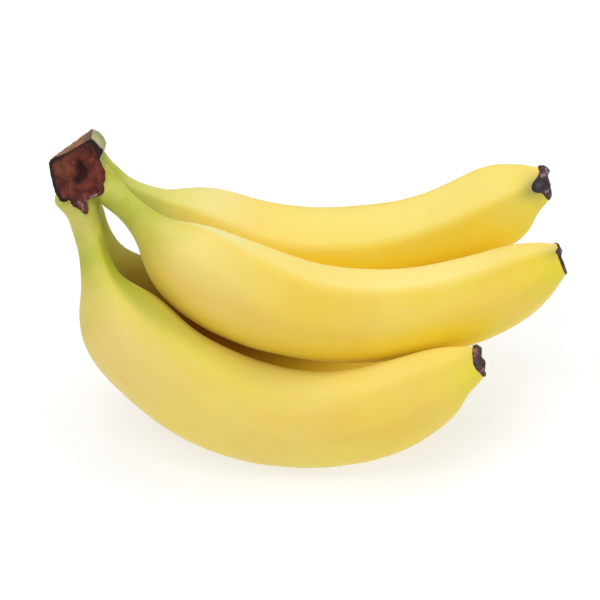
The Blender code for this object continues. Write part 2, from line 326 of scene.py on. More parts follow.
class Fruit:
    """One banana's build: its centre line, and its peel at any place along it and round it."""

    SAMPLES = 900

    def __init__(self, name):
        self.name = name
        self.build = PLAIN_BUILD | FRUITS[name]
        points = (np.array(self.build["path"], float) - MIDDLE) * MM
        knots = np.concatenate([[0], norm(np.diff(points, axis=0), axis=1).cumsum()])
        fine = spline(knots, points, np.linspace(0, knots[-1], 4 * self.SAMPLES))
        run = np.concatenate([[0], norm(np.diff(fine, axis=0), axis=1).cumsum()])
        self.length = run[-1]
        self.runs = np.linspace(0, self.length, self.SAMPLES)
        self.line = np.stack([np.interp(self.runs, run, fine[:, k]) for k in range(3)], axis=1)
        self.along = np.gradient(self.line, axis=0)
        self.along /= norm(self.along, axis=1)[:, None]
        self.back = np.array([0.0, 1.0, 0.0]) - self.along * self.along[:, 1:2]
        self.back /= norm(self.back, axis=1)[:, None]
        self.up = np.cross(self.along, self.back)
        self.radii = self.radius(self.runs / self.length)

    def radius(self, shares):
        """The section's radius at shares of the length."""
        knots, widths = zip(*OUTLINE)
        places = np.interp(shares, (0.0, self.build["shoulder"], 1.0), (0.0, SHOULDER, 1.0))
        width = spline(knots, widths, places)[:, 0]
        for place, share in self.build["swells"]:
            width += share * bell(shares - place, SWELL_REACH)
        return width * self.build["girth"] / 2

    def read(self, rows, run):
        """Rows kept along the centre line, read at a run along it in metres."""
        return np.stack([np.interp(run, self.runs, rows[:, k]) for k in range(3)], axis=1)

    def centre(self, run):
        """Points of the centre line, which goes straight on beyond both ends."""
        past = np.maximum(run - self.length, 0)
        before = np.minimum(run, 0)
        ends = past[:, None] * self.along[-1] + before[:, None] * self.along[0]
        return self.read(self.line, run) + ends

    def front_ridge(self, share):
        """The angle of the ridge between the upper and the front face."""
        start, end = (radians(turn) for turn in self.build["turn"])
        return start + (end - start) * ease(0.12, 0.5, share)

    def upper_face(self, share, angle):
        """1 on the face above the front ridge, 0 off it, with a soft edge."""
        off = turn_between(angle - self.front_ridge(share) + tau / RIDGES / 2, 0)
        return ease(radians(46), radians(24), np.abs(off))

    def section(self, share, angle):
        """The section's radius as a share of its largest, and how near the spot is to a ridge."""
        face = tau / RIDGES
        place = ((angle - self.front_ridge(share)) / face) % RIDGES
        below = np.floor(place).astype(int) % RIDGES
        strengths = np.array(self.build["ridges"])
        blend = ease(0.2, 0.8, place - np.floor(place))
        strength = strengths[below] * (1 - blend) + strengths[(below + 1) % RIDGES] * blend
        off = (place - np.round(place)) * face
        # Towards the tip, the ridges are sharper and the faces flatter.
        sharp = 0.19 - 0.09 * ease(0.6, 0.95, share)
        soft = np.sqrt(off**2 + sharp**2) - sharp * 0.35
        pentagon = cos(face / 2) / np.cos(np.clip(face / 2 - soft, 0, face / 2))
        facets = 0.34 + 0.22 * ease(0.72, 0.95, share) + 0.12 * ease(0.25, 0.08, share)
        nearest = strengths[np.round(place).astype(int) % RIDGES]
        near = bell(off, 0.15) * nearest
        return (1 - facets * strength * (1 - pentagon)) * (1 + 0.006 * near), near

    def reach(self, run, angle):
        """How far the peel is from the centre line, and the nearness of a ridge."""
        share = np.clip(run / self.length, 0, 1)
        shape, near = self.section(share, angle)
        reach = np.interp(run, self.runs, self.radii) * shape
        for place, spread, turn, wide, height in self.build["bumps"]:
            here = bell(share - place, spread) * near_turn(angle, turn, wide)
            reach = reach + height * MM * here
        return reach, near

    def outwards(self, run, angle):
        """Directions across the centre line: 0 is towards the back, a quarter turn upwards."""
        out = np.cos(angle)[:, None] * self.read(self.back, run)
        return out + np.sin(angle)[:, None] * self.read(self.up, run)

    def peel(self, run, angle):
        """Points of the peel, the directions out of it, and the nearness of a ridge."""
        reach, near = self.reach(run, angle)
        out = self.outwards(run, angle)
        return self.centre(run) + out * reach[:, None], out, near


def new_object(name, data):
    obj = bpy.data.objects.new(name, data)
    bpy.context.scene.collection.objects.link(obj)
    return obj


def mesh_object(name, points, faces, smooth=True):
    mesh = bpy.data.meshes.new(name)
    mesh.from_pydata(points.tolist(), [], faces)
    mesh.update()
    if smooth:
        mesh.shade_smooth()
    return new_object(name, mesh)


def tube_faces(rows, sides):
    """Faces of a closed tube of rows rings, each of sides points, with an n-gon at each end."""
    faces = []
    for row in range(rows - 1):
        for k in range(sides):
            a = row * sides + k
            b = row * sides + (k + 1) % sides
            faces.append((a, b, b + sides, a + sides))
    faces.append(tuple(reversed(range(sides))))
    faces.append(tuple((rows - 1) * sides + k for k in range(sides)))
    return faces


def point_values(mesh, values):
    """Stores named values on the mesh's points, for the materials."""
    for name, rows in values.items():
        vector = np.ndim(rows) == 2
        layer = mesh.attributes.new(name, "FLOAT_VECTOR" if vector else "FLOAT", "POINT")
        layer.data.foreach_set("vector" if vector else "value", np.float32(rows).ravel())


def vertex_rows(mesh, key):
    """What each vertex holds under a key: its place or its normal."""
    rows = np.zeros(len(mesh.vertices) * 3)
    mesh.vertices.foreach_get(key, rows)
    return rows.reshape(-1, 3)


def face_outwards(mesh):
    work = bmesh.new()
    work.from_mesh(mesh)
    bmesh.ops.recalc_face_normals(work, faces=work.faces)
    work.to_mesh(mesh)
    work.free()


def dress(obj, node):
    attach(obj, BODY)
    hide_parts(node)


# Picture places to points in space


def camera_axes():
    """The directions towards the bunch, up and to the right in the picture."""
    toward = np.array([0.0, cos(ELEVATION), -sin(ELEVATION)])
    up = np.array([0.0, sin(ELEVATION), cos(ELEVATION)])
    return toward, up, np.array([1.0, 0.0, 0.0])


def at_pixel(pixel, origin, normal):
    """Where the line of sight through a place in the picture meets a plane."""
    toward, up, right = camera_axes()
    eye = LOOK_AT - DISTANCE * toward
    scale = PIXELS_PER_M * DISTANCE
    half = PICTURE / 2
    ray = toward + right * (pixel[0] - half) / scale - up * (pixel[1] - half) / scale
    return eye + ray * (np.dot(origin - eye, normal) / np.dot(ray, normal))


# Fruit


def closeness(points, normals, name, fruits):
    """How much of its surroundings a spot of peel sees filled by the other fruit."""
    total = np.zeros(len(points))
    for other in fruits.values():
        if other.name == name:
            continue
        line = other.line[::14]
        radii = other.radii[::14]
        towards = line[None] - points[:, None]
        away = norm(towards, axis=2)
        facing = np.einsum("ijk,ik->ij", towards, normals) / away
        gap = np.maximum(away - radii, 0.5 * MM)
        seen = np.clip(facing + 0.15, 0, 1) * bell(gap, 13 * MM)
        total += seen.max(axis=1)
    return np.clip(total, 0, 1)


def tip_shift(fruit, angles):
    """How far the peel's end is moved at each angle, so that it ends inside the flower end."""
    lip = round_curve(fruit.build["lip"], angles)
    hem = round_curve(fruit.build["hem"], angles)
    return np.minimum(-hem + 0.8 * MM, lip - 0.5 * MM)


def peel_grid(fruit):
    """Each point of the peel's grid: run, angle, way to the fruit's end, and share of the radius."""
    angles = np.arange(AROUND) * tau / AROUND
    body_end = fruit.length - TIP_REACH
    rows = np.linspace(0, body_end, ALONG, endpoint=False)
    rows = np.concatenate([rows, np.linspace(body_end, fruit.length, TIP_ROWS)])
    parts = np.concatenate([np.ones(len(rows)), [part for part, _ in END_DISH]])
    depths = np.concatenate([np.zeros(len(rows)), [depth for _, depth in END_DISH]])
    rows = np.concatenate([rows, np.full(len(END_DISH), fruit.length)])
    run = np.repeat(rows, AROUND)
    to_end = fruit.length - run
    run = run + np.tile(tip_shift(fruit, angles), len(rows)) * ease(END_REACH, 0, to_end)
    run = run - np.repeat(depths, AROUND)
    return run, np.tile(angles, len(rows)), to_end, np.repeat(parts, AROUND)


def unevenness(fruit, points, run, angle, to_end):
    """How far the peel stands out at each point: soft swells, fine ripples and lengthwise flutes."""
    seed = fruit.build["seed"]
    calm = ease(0, 12 * MM, to_end)
    body = ease(0.12, 0.25, run / fruit.length) * calm
    flutes = np.stack([run * 0.04, np.cos(angle) * 12 * MM, np.sin(angle) * 12 * MM], axis=1)
    swell = noise(points, 22 * MM, seed) * 0.30 * MM * body
    swell += noise(points, 7 * MM, seed + 5) * 0.07 * MM * calm
    return swell + noise(flutes, 3.2 * MM, seed + 17) * 0.07 * MM * calm


def peel_values(fruit, fruits, points, normals, run, angle):
    """What the peel's material reads at each point, apart from its place and the ridges."""
    build, seed = fruit.build, fruit.build["seed"]
    share = run / fruit.length
    front_ridge = fruit.front_ridge(share)
    upper = fruit.upper_face(share, angle)
    below_ridge = near_turn(angle - front_ridge, 34, 32)
    body = ease(0.12, 0.36, share)

    # Greens: the stalk's, the inner face's by the neck, and the tip's.
    drift = noise(points, 14 * MM, seed + 9)
    strength, reach = build["inner"]
    rise = radians(-8) + radians(26) * ease(0.20, 0.42, share)
    above_ridge = near_turn(angle - front_ridge + rise, 0, 37)
    fade = ease(0.02, 0.12, share) * ease(reach, 0.08, share)
    tip = ease(0.89, 1.00, share) * near_turn(angle, 175, 60)

    # Lighter stretches: buff on the front; the upper face painted paler, a painted highlight from the
    # light above; and the pale bloom on the shoulder, partly a painted highlight as well.
    front = near_turn(angle, 165, 80)
    buff = build["tan"] * (0.65 + 0.5 * bell(share - 0.26, 0.10)) * (0.35 + 0.65 * front)
    buff = buff * (1 - 0.75 * ease(0.55, 0.85, share))
    # Painted highlight: how much paler the upper face is painted along the fruit.
    pale = ease(0.10, 0.22, share) * (1 - 0.35 * ease(0.80, 0.95, share))
    pale = pale * (0.75 + 0.40 * ease(0.45, 0.72, share))
    # The shoulder's pale bloom, strongest on the upper face: partly a painted highlight.
    bloom_and_highlight = np.maximum(upper, 0.4 * below_ridge) * bell(share - 0.235, 0.09)

    # Deeper stretches, painted light and shade: painted bounce light, a deeper yellow where the fruit
    # are close and below the front ridge; painted shade on the fruit in the others' shade, and on the
    # upper face halfway along.
    close = closeness(points, normals, fruit.name, fruits) * (1 - ease(0.15, 0.7, normals[:, 2]))
    lower_face_bounce = below_ridge * ease(0.36, 0.60, share) * ease(0.96, 0.84, share)
    # Painted shade: the hidden front of the fruit in the others' shade, and the upper face halfway
    # along.
    shade = ease(0.09, 0.21, share) * ease(0.74, 0.27, share)
    shade = shade * near_turn(angle, 135, 75) * build["shaded"]
    upper_face_shade = upper * bell(share - 0.56, 0.16) * build["upper_face_shade"]

    # The dried edge under the flower end's hem, and the bruise by it.
    hem = round_curve(build["hem"], angle)
    from_hem = fruit.length - run - hem + noise(points, 2.0 * MM, seed + 13) * 0.35 * MM
    turn, wide, dark = build["smudge"]
    return dict(
        green=1 - ease(*build["stalk"], share + 0.025 * drift),
        inner=np.maximum(upper * 0.85, above_ridge) * strength * fade,
        tip=tip,
        tan=np.clip(buff + 0.30 * noise(points, 26 * MM, seed + 21), 0, 1),
        pale=upper * build["pale"] * pale,
        bloom_and_highlight=bloom_and_highlight * build["bloom_and_highlight"],
        under=near_turn(angle, 250, 38) * ease(0.18, 0.30, share),
        # painted bounce light: a deeper yellow between the fruit and below the front ridge
        deep=np.maximum(close * body, lower_face_bounce * build["lower_face_bounce"]),
        shade=np.maximum(shade, upper_face_shade),
        # painted shade, browner further along the fruit
        brown=shade * ease(0.24, 0.38, share),
        dry=1 - ease(-0.2 * MM, 0.55 * MM, from_hem),
        smudge=bell(from_hem, 5.0 * MM) * near_turn(angle, turn, wide) * dark,
        # painted light on the upper back fruit's stalk, partly its own paler green
        light=lit_stalk_patch(points),
        peach=pale_below_tear(points),
    )


def make_fruit(fruit, fruits):
    run, angle, to_end, parts = peel_grid(fruit)
    points, out, ridge = fruit.peel(run, angle)
    centres = fruit.centre(run)
    points = centres + (points - centres) * parts[:, None]
    points = points + out * unevenness(fruit, points, run, angle, to_end)[:, None]
    height = points[:, 2]
    points[:, 2] = np.where(height < PRESSED, PRESSED * np.exp((height - PRESSED) / PRESSED), height)
    rings = len(points) // AROUND
    obj = mesh_object("fine_banana_" + fruit.name, points, tube_faces(rings, AROUND))
    face_outwards(obj.data)
    wrap = np.interp(run, fruit.runs, fruit.radii)
    unrolled = np.stack([run, wrap * np.cos(angle), wrap * np.sin(angle)], axis=1)
    normals = vertex_rows(obj.data, "normal")
    values = dict(place=points, ridge=ridge, peel=unrolled + fruit.build["seed"] * SEED_SHIFT)
    point_values(obj.data, values | peel_values(fruit, fruits, points, normals, run, angle))
    dress(obj, "banana_" + fruit.name)
    return obj


# Flower ends


def flower_rings(fruit, hem, lip, angles):
    """The dried end's points ring by ring, how deep in its mouth each is, and how far past the fruit."""
    bulk, mean_lip = fruit.build["bulk"], np.mean(lip)
    points, deep, past = [], [], []
    for way, proud, part, depth in FLOWER_RINGS:
        start = np.where(way < 0, -hem + way * MM, -hem + (lip + hem) * max(way, 0))
        # Inside the mouth, the lip's waves die out towards the middle.
        level = start * part**1.5 + mean_lip * (1 - part**1.5) if part < 0.95 else start
        run = fruit.length + level - depth * MM
        surface, out, _ = fruit.peel(run, angles)
        centre = fruit.centre(run)
        narrow = 1 - 0.035 * np.maximum(run - fruit.length, 0) / MM
        ring = centre + (surface - centre) * (part * narrow)[:, None]
        points.append(ring + out * (proud * bulk if proud > 0 else proud) * MM)
        deep.append(np.full(len(angles), 1.0 - part if part < 0.95 else 0.0))
        # The mouth counts as well past the end, out of reach of the scar and of the rust.
        past.append(np.where(way < 0.999, level, 9 * MM))
    return np.concatenate(points), np.concatenate(deep), np.concatenate(past)


def make_flower_end(fruit):
    """The dried flower end: a ragged cup that grips the tip, with a shrunken, dished mouth."""
    seed, bulk = fruit.build["seed"] + 100, fruit.build["bulk"]
    angles = np.arange(FLOWER_SIDES) * tau / FLOWER_SIDES
    circle = np.stack([np.cos(angles), np.sin(angles), np.zeros(FLOWER_SIDES)], axis=1)
    hem = round_curve(fruit.build["hem"], angles) + noise(circle, 0.35, seed) * 0.3 * bulk * MM
    lip = round_curve(fruit.build["lip"], angles) + noise(circle, 0.30, seed + 1) * 0.4 * bulk * MM
    lip = np.maximum(lip, -hem + 0.6 * MM)
    points, deep, past = flower_rings(fruit, hem, lip, angles)
    outward = points - fruit.centre(np.array([fruit.length - 1.5 * MM]))[0]
    outward /= norm(outward, axis=1)[:, None]
    spread = noise(points, 2.2 * MM, seed + 3)
    grain = noise(points, 0.7 * MM, seed + 7)
    # Wrinkles, but none on the buried ring, and none that sink the hem's edge into the peel.
    way = np.repeat([ring[0] for ring in FLOWER_RINGS], FLOWER_SIDES)
    push = np.where(way < 0, 0, spread * 0.30 * MM + grain * 0.13 * MM) * bulk
    push = np.where((way >= 0) & (way < 0.06), np.maximum(push, -0.05 * MM), push)
    points = points + outward * push[:, None]
    rings = len(FLOWER_RINGS)
    obj = mesh_object("dried_end_" + fruit.name, points, tube_faces(rings, FLOWER_SIDES))
    face_outwards(obj.data)
    around = np.tile(angles, rings)
    lobe = near_turn(around, 147, 15) * bell(past + 2.6 * MM, 2.6 * MM)
    lobe = lobe * ease(3.0 * MM, 4.5 * MM, np.max(hem))
    upper = near_turn(around, 90, 35) * bell(past + 0.2 * MM, 1.6 * MM)
    values = dict(
        place=points,
        slate=np.clip(lobe * 1.2, 0, 1),
        mouth=ease(0.1, 0.35, deep),
        rust=np.clip(upper + 0.6 * spread, 0, 1) * fruit.build["rust"],
    )
    point_values(obj.data, values)
    dress(obj, "flower_end_" + fruit.name)
    return obj


# Crown


def face_outline(pixels, depth=0.0):
    """An outline given in the picture, as (across, up), that deep behind the near cut face."""
    level = CROWN_AT + CROWN_BACK * depth * MM
    spots = [at_pixel(p, level, CROWN_BACK) - level for p in pixels]
    return np.array([(np.dot(s, CROWN_ACROSS), np.dot(s, CROWN_UP)) for s in spots]) / MM


def finer(outline, gap=0.8):
    """An (across, up) outline with its points a gap apart."""
    closed = np.vstack([outline, outline[:1]])
    run = np.concatenate([[0], norm(np.diff(closed, axis=0), axis=1).cumsum()])
    at = np.linspace(0, run[-1], int(run[-1] / gap), endpoint=False)
    return np.stack([np.interp(at, run, closed[:, k]) for k in range(2)], axis=1)


def in_space(outline, depth):
    """An (across, up) outline as points in space, that deep behind the near cut face."""
    off = outline[:, :1] * CROWN_ACROSS + outline[:, 1:] * CROWN_UP + depth * CROWN_BACK
    return CROWN_AT + off * MM


def rim_distance(outline, spots):
    """Signed distance of (across, up) spots from an outline, negative inside it."""
    ends = np.roll(outline, -1, axis=0)
    best = np.full(len(spots), 1e9)
    inside = np.zeros(len(spots), bool)
    for a, b in zip(outline, ends):
        edge = b - a
        share = np.clip(((spots - a) @ edge) / (edge @ edge), 0, 1)
        best = np.minimum(best, norm(spots - a - share[:, None] * edge, axis=1))
        crosses = (a[1] > spots[:, 1]) != (b[1] > spots[:, 1])
        with np.errstate(divide="ignore", invalid="ignore"):
            at = a[0] + (spots[:, 1] - a[1]) / (b[1] - a[1]) * (b[0] - a[0])
        inside ^= crosses & (spots[:, 0] < at)
    return np.where(inside, -best, best)


def neighbour_average(mesh, values):
    """The mean of each vertex's neighbours."""
    edges = np.zeros(len(mesh.edges) * 2, int)
    mesh.edges.foreach_get("vertices", edges)
    a, b = edges[::2], edges[1::2]
    total = np.zeros_like(values)
    count = np.zeros(len(values))
    for first, second in ((a, b), (b, a)):
        np.add.at(total, first, values[second])
        np.add.at(count, first, 1)
    return total / np.maximum(count, 1)[:, None]


def paired_rims(gap=0.8):
    """The near and far rims, divided alike."""
    near = face_outline([row[:2] for row in CROWN_RIM])
    far = face_outline([row[2:] for row in CROWN_RIM], CROWN_DEPTH)
    rims = [], []
    for i in range(len(near)):
        k = (i + 1) % len(near)
        count = max(1, int(norm(near[k] - near[i]) / gap))
        for share in np.arange(count) / count:
            for rim, outline in zip(rims, (near, far)):
                rim.append(outline[i] + (outline[k] - outline[i]) * share)
    return np.array(rims[0]), np.array(rims[1])


def crown_blocks(fruits):
    """The rough closed bodies that the crown is grown from, and the outlines of its cuts."""
    rim, far_rim = paired_rims()
    shares = (0.0, 0.03, 0.3, 0.6, 1.0)
    rings = [in_space(rim + (far_rim - rim) * share, CROWN_DEPTH * share) for share in shares]
    blocks = [(np.concatenate(rings), tube_faces(len(rings), len(rim)))]
    strip = finer(face_outline(TORN_STRIP))
    low = strip[:, 1:].min()
    held = np.clip((strip[:, 1] - low) / (STRIP_LOOSE - low), 0, 1)[:, None]
    sides = [in_space(strip, -STRIP_PROUD * (1 - held)), in_space(strip, STRIP_THICK)]
    blocks.append((np.concatenate(sides), tube_faces(2, len(strip))))
    for fruit in fruits.values():
        blocks.append(stalk_sleeve(fruit))
    return blocks, rim, far_rim, strip


def stalk_sleeve(fruit):
    """The crown's part of a stalk: it starts inside the stub, and sinks into the peel."""
    runs = np.arange(-5 * MM, 27 * MM, 0.9 * MM)
    angles = np.arange(SLEEVE_SIDES) * tau / SLEEVE_SIDES
    run, angle = np.repeat(runs, SLEEVE_SIDES), np.tile(angles, len(runs))
    own, _ = fruit.reach(run, angle)
    least = 0.29 * fruit.build["girth"] / 2
    radius = np.where(run < 10 * MM, np.maximum(own, least), own)
    sink = 0.05 * ease(4 * MM, 0, run) - 0.13 * ease(9 * MM, 24 * MM, run) + 0.03
    upper, lower = fruit.build["flare"]
    flare = np.where(np.sin(angle) > 0, upper - 1, lower - 1) * np.sin(angle) ** 2
    flare = (flare + 0.15 * np.cos(angle) ** 2) * bell(run, 5.2 * MM)
    radius = radius * (1 + sink + flare)
    points = fruit.centre(run) + fruit.outwards(run, angle) * radius[:, None]
    return points, tube_faces(len(runs), SLEEVE_SIDES)


def grown_together(blocks):
    """One closed mesh over overlapping blocks."""
    points, faces = [], []
    for block, block_faces in blocks:
        shift = sum(len(p) for p in points)
        points.append(block)
        faces += [tuple(v + shift for v in face) for face in block_faces]
    obj = mesh_object("crown_rough", np.concatenate(points), faces, smooth=False)
    face_outwards(obj.data)
    remesh = obj.modifiers.new("grow", "REMESH")
    remesh.mode = "VOXEL"
    remesh.voxel_size = VOXEL
    graph = bpy.context.evaluated_depsgraph_get()
    mesh = bpy.data.meshes.new_from_object(obj.evaluated_get(graph))
    bpy.data.objects.remove(obj)
    return mesh


def crown_frame(points):
    """Points by the crown's own directions: (across, up), and the depth behind its near face."""
    off = (points - CROWN_AT) / MM
    return np.stack([off @ CROWN_ACROSS, off @ CROWN_UP], axis=1), off @ CROWN_BACK


def near_spot(spots, pixel, wide, tall=None):
    """A soft spot on the near face round a place in the picture, with its radii."""
    at = face_outline((pixel,))[0]
    off = spots - at
    return bell(off[:, 0], wide) * bell(off[:, 1], tall or wide)


def pale_below_tear(points):
    """1 where the skin below the torn strip has dried pale, on the crown and on the stalk."""
    spots, depth = crown_frame(points)
    return near_spot(spots, PALE_SKIN, 4.2, 11.0) * ease(14, 6, depth)


def lit_stalk_patch(points):
    """1 on the stretch of the upper back fruit's stalk painted paler, partly as painted light, 0 away
    from it.
    """
    return bell(norm(points - LIT_STALK, axis=1), LIT_STALK_REACH)


def round_joints(mesh, rim, far_rim, strip):
    """Rounds off the joints between stalks and stub, and leaves the cut edges crisp."""
    points = vertex_rows(mesh, "co")
    spots, depth = crown_frame(points)
    rim_off = rim_distance(rim, spots)
    cut_off = np.minimum(rim_off, rim_distance(strip, spots))
    from_cut = np.minimum(
        np.where(cut_off < 1, np.abs(depth), np.inf),
        np.where(rim_distance(far_rim, spots) < 1, np.abs(depth - CROWN_DEPTH), np.inf),
    )
    from_cut = np.minimum(from_cut, np.abs(rim_off) * 1.5)
    loose = ease(0.8, 3.5, from_cut)
    for step in range(16):
        weight = (0.10 + 0.50 * loose) if step < 3 else 0.55 * loose
        points += (neighbour_average(mesh, points) - points) * weight[:, None]
    mesh.vertices.foreach_set("co", points.ravel())
    mesh.update()
    return points


def cut_masks(points, normals, cut_off, far_off):
    """1 on the near cut face, on the far one and on the cut top, with ragged edges."""
    spots, depth = crown_frame(points)
    ragged = noise(points, 2.4 * MM, 71) * 0.30
    inside, far_inside = (ease(0.45, -0.25, off + ragged) for off in (cut_off, far_off))
    facing = -(normals @ CROWN_BACK)
    near = inside * ease(2.6, 1.6, depth) * ease(0.0, 0.3, facing)
    behind = ease(CROWN_DEPTH - 2.0, CROWN_DEPTH - 0.8, depth)
    far = behind * ease(0.3, 0.6, -facing) * far_inside
    top = ease(0.78, 0.90, normals @ CROWN_UP) * ease(5, 7, spots[:, 1])
    return near, far, top


def dark_border(points, spots, from_rim):
    """How dark the cut faces' edge is: broad at the wedge, along the top and at the left."""
    across, up = spots.T
    wedge = near_spot(spots, WEDGE, 3.6)
    high = ease(3, 8, up) * ease(6, -6, across)
    width = 0.30 + 3.3 * wedge + 0.70 * high + 1.15 * ease(-6, -10, across)
    width = width * (1 + 0.7 * noise(points, 3.0 * MM, 91))
    grime = 0.72 + 0.6 * noise(points, 2.6 * MM, 93) + wedge
    grime += 0.7 * ease(2, 6, up) + 0.5 * ease(-5, -9, across)
    return ease(1.8, 0.4, -from_rim / width) * np.clip(grime, 0.30, 1)


def fibre_frame(points, spots, depth):
    """Places along wavy fibres that run down the cut faces, a little to the right."""
    across, up = spots.T
    wave = noise(points, 6.0 * MM, 79) * 1.3
    sideways = across * cos(FIBRE_LEAN) - up * sin(FIBRE_LEAN) + wave
    return np.stack([sideways, across * sin(FIBRE_LEAN) + up * cos(FIBRE_LEAN), depth], axis=1)


def make_crown(fruits):
    blocks, rim, far_rim, strip = crown_blocks(fruits)
    mesh = grown_together(blocks)
    points = round_joints(mesh, rim, far_rim, strip)
    normals = vertex_rows(mesh, "normal")
    spots, depth = crown_frame(points)
    cut_off = np.minimum(rim_distance(rim, spots), rim_distance(strip, spots))
    far_off = rim_distance(far_rim, spots)
    near, far, top = cut_masks(points, normals, cut_off, far_off)
    hollow = near_spot(spots, HOLLOW_TOP, 1.7, 4.6) + near_spot(spots, HOLLOW_BOTTOM, 2.5, 2.3)
    hollow = np.clip(hollow, 0, 1)
    from_rim = np.where(depth > 0.5 * CROWN_DEPTH, far_off, cut_off)
    border = dark_border(points, spots, from_rim)
    fibre = fibre_frame(points, spots, depth)

    # Relief: fibres and grain on the cuts, which sink towards the hollow, and faint dents in the skin.
    streak = noise(fibre * (3.2, 0.45, 3.2), 2.6, 81)
    coarse = noise(points, 4.5 * MM, 83)
    grain = noise(points, 1.1 * MM, 87)
    push = near * (-2.4 * hollow - 0.45 * ease(0, -5, cut_off))
    push += near * (streak * 0.60 + coarse * 0.55 + grain * 0.24 + border * 0.15)
    push += (top + far) * (streak * 0.25 + coarse * 0.25 + grain * 0.16)
    push += np.clip(1 - near - far - top, 0, 1) * (coarse * 0.10 + grain * 0.04)
    points = points + normals * push[:, None] * MM
    mesh.vertices.foreach_set("co", points.ravel())
    mesh.shade_smooth()
    mesh.update()
    obj = new_object("fine_crown", mesh)
    shreds = sum(near_spot(spots, at, wide, tall) for at, wide, tall in PALE_SHREDS)
    values = dict(
        place=points, fibre=fibre * MM, near=near, far=far, top=top, hollow=hollow, border=border,
        dim=ease(2.8, 0.4, -from_rim),
        peak=near_spot(spots, PEAK, 4.2, 3.4),
        left=ease(1, -3, fibre[:, 0]),
        torn=np.clip(shreds, 0, 1) * near,
        root=ease(4.5, -3.5, spots[:, 1]),
        # painted shade: the skin darker towards the far cut face
        behind=ease(0.40 * CROWN_DEPTH, 0.85 * CROWN_DEPTH, depth),
        # painted light on the upper back fruit's stalk, as on the fruit
        light=lit_stalk_patch(points),
        peach=pale_below_tear(points),
    )
    point_values(mesh, values)
    dress(obj, "crown")
    return obj


# Materials


class Nodes:
    """A small helper that adds linked shader nodes to a material."""

    def __init__(self, name):
        self.material = bpy.data.materials.new(name)
        self.material.use_nodes = True
        self.tree = self.material.node_tree
        self.shader = self.tree.nodes["Principled BSDF"]

    def fill(self, node, inputs):
        """Links or sets inputs of a node, given by name or by number."""
        for key, value in inputs.items():
            socket = node.inputs[key]
            if isinstance(value, bpy.types.NodeSocket):
                self.tree.links.new(value, socket)
            else:
                socket.default_value = (*value, 1.0) if socket.type == "RGBA" else value

    def new(self, kind, inputs, output=0, **settings):
        """An output of a new node, which has those settings and inputs."""
        node = self.tree.nodes.new("ShaderNode" + kind)
        for name, value in settings.items():
            setattr(node, name, value)
        self.fill(node, inputs)
        return node.outputs[output]

    def read(self, name, output="Fac"):
        """What the mesh's points hold under a name."""
        return self.new("Attribute", {}, output, attribute_name=name)

    def scaled(self, vector, scale):
        return self.new("Mapping", {"Vector": vector, "Scale": scale})

    def noise(self, vector, scale, detail=3.0, roughness=0.55, warp=0.0):
        inputs = {"Vector": vector, "Scale": scale, "Detail": detail, "Roughness": roughness}
        return self.new("TexNoise", inputs | {"Distortion": warp}, "Fac")

    def cells(self, vector, scale):
        return self.new("TexVoronoi", {"Vector": vector, "Scale": scale}, "Distance")

    def ramp(self, value, low, high, out_low=0.0, out_high=1.0):
        ends = {"From Min": low, "From Max": high, "To Min": out_low, "To Max": out_high}
        return self.new("MapRange", {"Value": value} | ends, interpolation_type="SMOOTHSTEP")

    def add(self, first, second):
        return self.new("Math", {0: first, 1: second}, operation="ADD")

    def times(self, first, second):
        return self.new("Math", {0: first, 1: second}, operation="MULTIPLY")

    def part(self, name, strength):
        """What the mesh's points hold under a name, times a strength."""
        return self.times(self.read(name), strength)

    def mix(self, share, first, second):
        inputs = {0: share, 6: first, 7: second}
        return self.new("Mix", inputs, 2, data_type="RGBA", clamp_factor=True)

    def painted(self, colour, coats):
        """A colour under coats of paint, each given by how strong it is and by its own colour."""
        for share, paint in coats:
            colour = self.mix(share, colour, paint)
        return colour

    def finish(self, colour, roughness, height, distance, strength):
        """The material, with its bumps that many metres high."""
        normal = self.new("Bump", {"Height": height, "Distance": distance, "Strength": strength})
        self.fill(self.shader, {"Base Color": colour, "Roughness": roughness, "Normal": normal})
        return self.material


YELLOW = (0.87, 0.670, 0.080)
WARM_YELLOW = (0.85, 0.600, 0.055)
SMEAR = (0.82, 0.540, 0.085)
# The pale yellow of the painted highlight on the upper faces.
HIGHLIGHT_YELLOW = (0.93, 0.780, 0.270)
# The deeper yellow of the painted bounce light between the fruit.
BOUNCE_YELLOW = (1.00, 0.735, 0.008)
BUFF = (0.80, 0.615, 0.255)
PALE_SKIN_COLOUR = (0.62, 0.55, 0.15)
GREEN = (0.43, 0.450, 0.035)
PALE_GREEN = (0.55, 0.540, 0.100)
INNER_GREEN = (0.38, 0.380, 0.012)
YELLOW_GREEN = (0.68, 0.620, 0.045)
TIP_GREEN = (0.74, 0.650, 0.020)
EDGE_GREEN = (0.70, 0.660, 0.240)
BLOOM_AND_HIGHLIGHT = (0.82, 0.775, 0.340)
LIT_STALK_GREEN = (0.60, 0.640, 0.190)
# The painted shade's colours: olive by the neck, brown further along.
SHADE_OLIVE = (0.185, 0.108, 0.001)
SHADE_BROWN = (0.380, 0.090, 0.001)
BRUISE = (0.26, 0.13, 0.035)
SMUDGE = (0.20, 0.19, 0.10)
BLACK_BROWN = (0.030, 0.014, 0.010)
